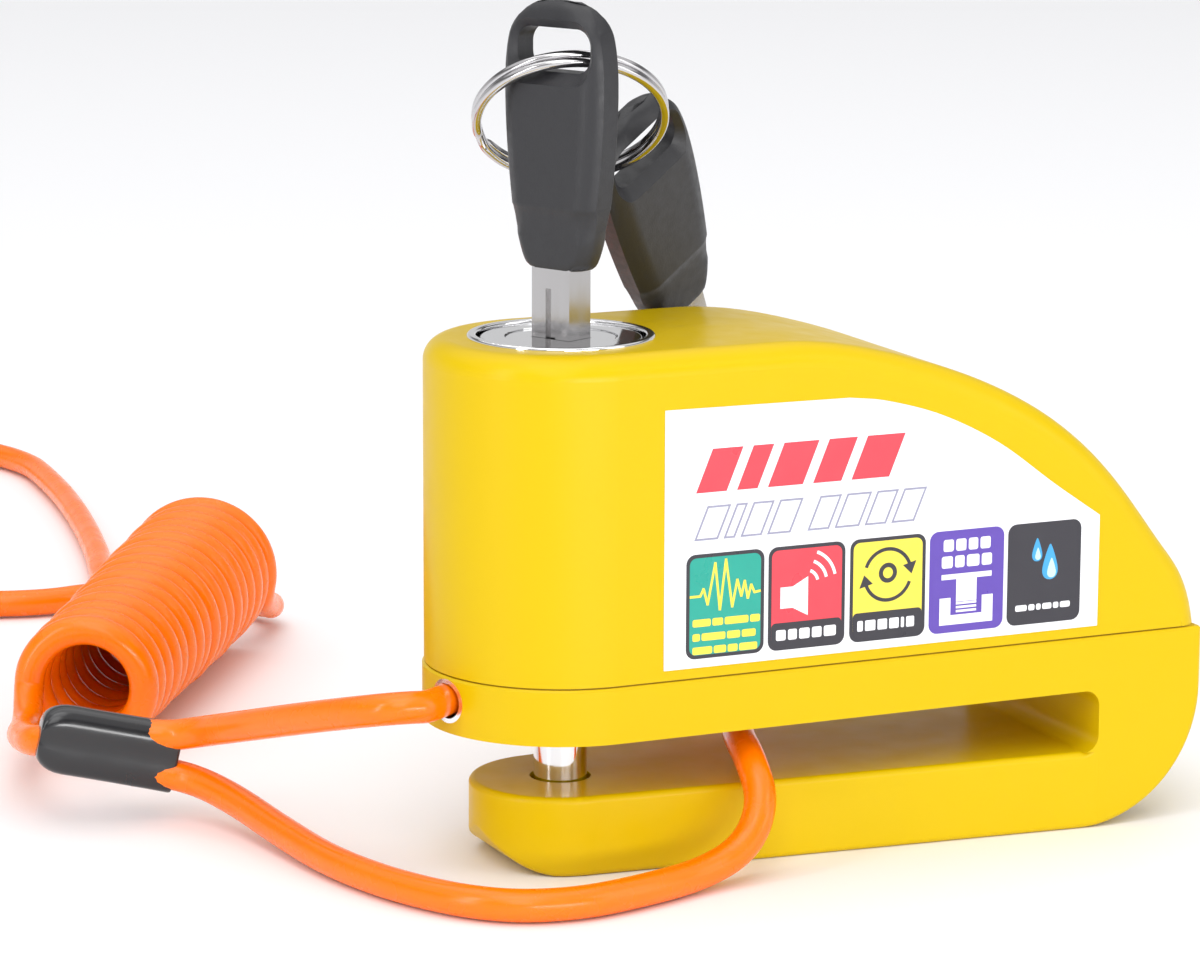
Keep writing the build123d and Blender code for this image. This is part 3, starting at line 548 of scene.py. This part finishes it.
# ------------------------------------------------------------------ label
F0 = -15.25
spl = [(28.0, 52.6), (32.7, 51.9), (39.6, 49.8), (46.9, 46.1), (54.1, 40.9), (60.1, 36.8)]


def catmull(pts, per):
    out = []
    q = [(2 * pts[0][0] - pts[1][0], 2 * pts[0][1] - pts[1][1])] + pts + [(2 * pts[-1][0] - pts[-2][0], 2 * pts[-1][1] - pts[-2][1])]
    for i in range(1, len(q) - 2):
        for k_ in range(per):
            t = k_ / per
            out.append(tuple(0.5 * (2 * q[i][d] + (q[i + 1][d] - q[i - 1][d]) * t + (2 * q[i - 1][d] - 5 * q[i][d] + 4 * q[i + 1][d] - q[i + 2][d]) * t * t
                                    + (3 * q[i][d] - q[i - 1][d] - 3 * q[i + 1][d] + q[i + 2][d]) * t ** 3) for d in (0, 1)))
    out.append(pts[-1])
    return out


outline = [(5.5, 23.9)] + [(5.5, 52.8)] + catmull(spl, 8) + [(60.1, 23.9)]


def slab(name, pts, y0, y1, mat, bevel=0.0):
    n = len(pts)
    verts = [(x, y0, z) for x, z in pts] + [(x, y1, z) for x, z in pts]
    faces = [tuple(range(n)), tuple(reversed(range(n, 2 * n)))]
    for i in range(n):
        faces.append((i, (i + 1) % n, n + (i + 1) % n, n + i))
    ob = add_mesh(name, verts, faces, mat, "lock_body", smooth=False)
    if bevel:
        bv = ob.modifiers.new("edge", "BEVEL")
        bv.width = bevel * MM
        bv.segments = 2
        bv.limit_method = "ANGLE"
        bv.angle_limit = math.radians(50)
        baked(ob)
    return ob


film = slab("label_film_sheet", outline, F0 + 0.02, F0 - 0.16, M_FILM, bevel=0.05)
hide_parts("front_label")

pv, pf, pm = [], [], []
ink_names = list(INKS)
FILM_Y = F0 - 0.16


def poly(pts, layer, colour):
    y = FILM_Y - 0.008 * layer - 0.004
    b0 = len(pv)
    area = sum(pts[i][0] * pts[(i + 1) % len(pts)][1] - pts[(i + 1) % len(pts)][0] * pts[i][1] for i in range(len(pts)))
    if area < 0:
        pts = list(reversed(pts))
    pv.extend([(x, y, z) for x, z in pts])
    pf.append(tuple(range(b0, b0 + len(pts))))
    pm.append(ink_names.index(colour))


def rrect(x0, x1, z0, z1, r, seg=6):
    out = []
    for (cx_, cz_, a0) in ((x1 - r, z1 - r, 0), (x0 + r, z1 - r, 90), (x0 + r, z0 + r, 180), (x1 - r, z0 + r, 270)):
        for k_ in range(seg + 1):
            a_ = math.radians(a0 + 90 * k_ / seg)
            out.append((cx_ + r * math.cos(a_), cz_ + r * math.sin(a_)))
    return out


def band(pts, width, layer, colour):
    """A printed line of a given width along points."""
    for i in range(len(pts) - 1):
        (xa, za), (xb, zb) = pts[i], pts[i + 1]
        dx, dz = xb - xa, zb - za
        l_ = math.hypot(dx, dz)
        nx_, nz_ = -dz / l_ * width / 2, dx / l_ * width / 2
        ex_, ez_ = dx / l_ * width * 0.25, dz / l_ * width * 0.25
        poly([(xa + nx_ - ex_, za + nz_ - ez_), (xb + nx_ + ex_, zb + nz_ + ez_), (xb - nx_ + ex_, zb - nz_ + ez_), (xa - nx_ - ex_, za - nz_ - ez_)],
             layer + 0.01 * i, colour)


def arc(cx_, cz_, r, a0, a1, width, layer, colour, seg=18):
    outer = [(cx_ + (r + width / 2) * math.cos(math.radians(a0 + (a1 - a0) * k_ / seg)), cz_ + (r + width / 2) * math.sin(math.radians(a0 + (a1 - a0) * k_ / seg))) for k_ in range(seg + 1)]
    inner = [(cx_ + (r - width / 2) * math.cos(math.radians(a0 + (a1 - a0) * k_ / seg)), cz_ + (r - width / 2) * math.sin(math.radians(a0 + (a1 - a0) * k_ / seg))) for k_ in range(seg + 1)]
    for k_ in range(seg):
        poly([outer[k_], outer[k_ + 1], inner[k_ + 1], inner[k_]], layer, colour)


# a row of red slanted bars above a row of outlined grey ones
x = 9.2
for wbar in (4.6, 3.4, 5.2, 4.4, 5.6):
    z0, z1 = 43.4, 48.2
    sl = 2.0
    poly([(x, z0), (x + wbar - 0.9, z0), (x + wbar - 0.9 + sl, z1), (x + sl, z1)], 1, "red")
    x += wbar + 0.35
x = 9.0
for wbar in (3.4, 1.9, 3.1, 3.4, 0.0, 3.2, 3.6, 3.2, 3.4):
    if wbar == 0.0:
        x += 1.4
        continue
    z0, z1, sl, e = 38.1, 41.9, 1.6, 0.24
    o_ = [(x, z0), (x + wbar - 0.5, z0), (x + wbar - 0.5 + sl, z1), (x + sl, z1)]
    i_ = [(x + e + 0.12, z0 + e), (x + wbar - 0.5 - e + 0.07, z0 + e), (x + wbar - 0.5 + sl - e - 0.12, z1 - e), (x + sl + e - 0.07, z1 - e)]
    for k_ in range(4):
        poly([o_[k_], o_[(k_ + 1) % 4], i_[(k_ + 1) % 4], i_[k_]], 1, "grey")
    x += wbar + 0.15

tiles = [(8.1, "teal"), (18.1, "red"), (28.2, "yellow"), (38.2, "purple"), (48.2, "dark")]
TZ0, TZ1, TW = 24.9, 36.6, 9.5
for (x0, col) in tiles:
    x1 = x0 + TW
    poly(rrect(x0, x1, TZ0, TZ1, 1.1), 1, "dark" if col != "purple" else "purple")
    if col != "dark":
        poly(rrect(x0 + 0.42, x1 - 0.42, TZ0 + 0.42, TZ1 - 0.42, 0.8), 2, col)
    cx_ = (x0 + x1) / 2
    if col == "teal":
        w_ = [(x0 + 0.5, 31.9), (x0 + 1.7, 31.9), (x0 + 2.1, 32.7), (x0 + 2.6, 30.9), (x0 + 3.5, 35.5), (x0 + 4.1, 30.2), (x0 + 4.8, 35.8), (x0 + 5.6, 30.4),
              (x0 + 6.2, 33.4), (x0 + 6.7, 31.5), (x0 + 7.1, 33.2), (x0 + 7.5, 31.2), (x0 + 7.9, 32.7), (x0 + 8.3, 31.8), (x0 + 9.0, 31.9)]
        band(w_, 0.28, 3, "yellow")
        for (zz, ws) in ((28.9, (2.2, 1.3, 2.9, 1.2)), (27.3, (0.9, 2.9, 1.6, 1.7)), (25.8, (2.4, 1.5, 1.2, 2.2))):
            xx = x0 + 0.8
            for q in ws:
                poly(rrect(xx, xx + q, zz - 0.42, zz + 0.42, 0.2, 3), 3, "yellow")
                xx += q + 0.2
    elif col == "red":
        poly(rrect(x0 + 0.42, x1 - 0.42, TZ0 + 0.42, 28.0, 0.5), 3, "dark")
        for r_ in (1.5, 2.6, 3.7):
            arc(x0 + 4.6, 32.2, r_, 12, 68, 0.36, 3, "white")
        # a loudspeaker
        poly([(x0 + 1.5, 29.6), (x0 + 3.0, 29.6), (x0 + 4.9, 28.6), (x0 + 4.9, 33.0), (x0 + 3.0, 32.0), (x0 + 1.5, 32.0)], 3, "white")
        xx = x0 + 1.0
        for q in (1.2, 1.1, 1.3, 1.2, 1.5):
            poly(rrect(xx, xx + q, 26.0, 27.2, 0.2, 3), 4, "white")
            xx += q + 0.28
    elif col == "yellow":
        poly(rrect(x0 + 0.42, x1 - 0.42, TZ0 + 0.42, 28.2, 0.5), 3, "dark")
        arc(cx_, 32.3, 2.9, 20, 160, 0.42, 3, "dark", 24)
        arc(cx_, 32.3, 2.9, 200, 340, 0.42, 3, "dark", 24)
        for a_ in (20, 200):
            px, pz = cx_ + 2.9 * math.cos(math.radians(a_)), 32.3 + 2.9 * math.sin(math.radians(a_))
            s_ = 1 if a_ == 20 else -1
            poly([(px - 0.85 * s_, pz - 0.1 * s_), (px + 0.85 * s_, pz + 0.35 * s_), (px + 0.25 * s_, pz - 1.15 * s_)], 4, "dark")
        disc = [(cx_ + 1.15 * math.cos(2 * math.pi * k_ / 24), 32.5 + 1.15 * math.sin(2 * math.pi * k_ / 24)) for k_ in range(24)]
        poly(disc, 3, "dark")
        disc = [(cx_ + 0.62 * math.cos(2 * math.pi * k_ / 24), 32.5 + 0.62 * math.sin(2 * math.pi * k_ / 24)) for k_ in range(24)]
        poly(disc, 4, "yellow")
        xx = x0 + 1.0
        for q in (0.7, 1.3, 1.2, 1.2, 0.4, 1.0):
            poly(rrect(xx, xx + q, 26.1, 27.3, 0.15, 3), 4, "white")
            xx += q + 0.27
    elif col == "purple":
        for (zz, ws) in ((34.9, (1.3, 1.3, 1.2, 1.3)), (33.0, (1.4, 1.2, 1.6, 1.3))):
            xx = cx_ - (sum(ws) + 0.9) / 2
            for q in ws:
                poly(rrect(xx, xx + q, zz - 0.68, zz + 0.68, 0.25, 3), 3, "white")
                xx += q + 0.3
        poly([(cx_ - 3.2, 31.6), (cx_ + 3.2, 31.6), (cx_ + 3.2, 31.0), (cx_ - 3.2, 31.0)], 3, "white")
        poly([(cx_ - 1.3, 31.2), (cx_ + 1.3, 31.2), (cx_ + 1.3, 28.4), (cx_ - 1.3, 28.4)], 3.2, "white")
        poly([(cx_ - 3.4, 28.9), (cx_ - 2.0, 28.9), (cx_ - 2.0, 26.9), (cx_ + 2.0, 26.9), (cx_ + 2.0, 28.9), (cx_ + 3.4, 28.9), (cx_ + 3.4, 25.8), (cx_ - 3.4, 25.8)], 3.1, "white")
        for zz in (28.2, 27.75, 27.3):
            poly([(cx_ - 1.3, zz + 0.13), (cx_ + 1.3, zz + 0.13), (cx_ + 1.3, zz - 0.13), (cx_ - 1.3, zz - 0.13)], 3.3, "white")
    else:
        for (dx_, dz_, k2, colr) in ((-0.95, 33.3, 0.95, "blue"), (0.75, 31.7, 1.45, "blue"), (-0.85, 32.9, 0.5, "pale"), (0.95, 31.1, 0.8, "pale")):
            drop = []
            for k_ in range(26):
                a_ = 2 * math.pi * k_ / 26
                rr = k2 * (1 - 0.0)
                zz = -math.cos(a_) * rr * 1.25
                ww = math.sin(a_) * rr * (0.62 - 0.36 * (zz / (rr * 1.25)))
                drop.append((cx_ + dx_ + ww, dz_ + zz + (0.35 * rr if zz > 0 else 0) * (zz / (rr * 1.25))))
            poly(drop, 3 if colr == "blue" else 4, colr)
        xx = x0 + 1.1
        for q in (1.5, 0.8, 0.6, 1.2, 0.7, 1.3):
            poly(rrect(xx, xx + q, 26.5, 27.2, 0.2, 3), 3, "white")
            xx += q + 0.2
prints = add_mesh("label_print", pv, pf, None, "lock_body", smooth=False, mats=[INKS[n_] for n_ in ink_names], face_mats=pm)

# ------------------------------------------------------------------ floor and light
fl = bpy.data.meshes.new("floor")
fl.from_pydata([(-6, -6, 0), (6, -6, 0), (6, 8, 0), (-6, 8, 0)], [], [(0, 1, 2, 3)])
floor = bpy.data.objects.new("floor", fl)
sc.collection.objects.link(floor)
fm = bpy.data.materials.new("floor_white")
fm.use_nodes = True
fb = fm.node_tree.nodes["Principled BSDF"]
fb.inputs["Base Color"].default_value = (0.93, 0.93, 0.945, 1)
fb.inputs["Roughness"].default_value = 0.55
fb.inputs["Specular IOR Level"].default_value = 0.25
fl.materials.append(fm)

world = bpy.data.worlds.new("studio")
sc.world = world
world.use_nodes = True
wn = world.node_tree
bg = wn.nodes["Background"]
tcw = wn.nodes.new("ShaderNodeTexCoord")
sep = wn.nodes.new("ShaderNodeSeparateXYZ")
wn.links.new(tcw.outputs["Generated"], sep.inputs["Vector"])
cr = wn.nodes.new("ShaderNodeValToRGB")
els = cr.color_ramp.elements
els[0].position, els[0].color = 0.0, (0.62, 0.62, 0.64, 1)
els[1].position, els[1].color = 1.0, (1.0, 1.0, 1.0, 1)
for pos, v in ((0.50, 0.95), (0.56, 0.78), (0.62, 0.70), (0.67, 0.22), (0.73, 0.22), (0.78, 0.95)):
    e_ = els.new(pos)
    e_.color = (v, v, v * 1.01, 1)
mrw = wn.nodes.new("ShaderNodeMapRange")
mrw.inputs["From Min"].default_value = -1.0
mrw.inputs["From Max"].default_value = 1.0
wn.links.new(sep.outputs["Z"], mrw.inputs["Value"])
wn.links.new(mrw.outputs["Result"], cr.inputs["Fac"])
wn.links.new(cr.outputs["Color"], bg.inputs["Color"])
bg.inputs["Strength"].default_value = 0.88


def area(name, loc, target, sx_, sy_, power, colour=(1, 1, 1)):
    l_ = bpy.data.lights.new(name, "AREA")
    l_.shape = "RECTANGLE"
    l_.size, l_.size_y = sx_, sy_
    l_.energy = power
    l_.color = colour
    ob = bpy.data.objects.new(name, l_)
    sc.collection.objects.link(ob)
    ob.location = loc
    ob.rotation_mode = "QUATERNION"
    ob.rotation_quaternion = (Vector(target) - Vector(loc)).to_track_quat("-Z", "Y")
    return ob


sun = bpy.data.lights.new("soft_sun", "SUN")
sun.energy = 0.50
sun.angle = math.radians(38)
so = bpy.data.objects.new("soft_sun", sun)
sc.collection.objects.link(so)
so.rotation_mode = "QUATERNION"
so.rotation_quaternion = Vector((0.30, 0.42, -1.0)).to_track_quat("-Z", "Y")
area("strip_light", (-0.90, -0.24, 0.32), (-0.01, 0.0, 0.04), 0.13, 0.9, 2.6)
area("key_light", (-0.55, -0.95, 0.75), (0.02, 0.02, 0.03), 0.5, 0.6, 2.0)
area("fill_light", (0.75, -0.70, 0.45), (0.02, 0.02, 0.03), 0.5, 0.8, 2.0)
area("slot_light", (0.02, -0.80, 0.085), (0.03, 0.0, 0.016), 0.6, 0.10, 2.2)
area("top_light", (0.0, 0.15, 1.1), (0.0, 0.05, 0.0), 1.1, 1.1, 3.2)
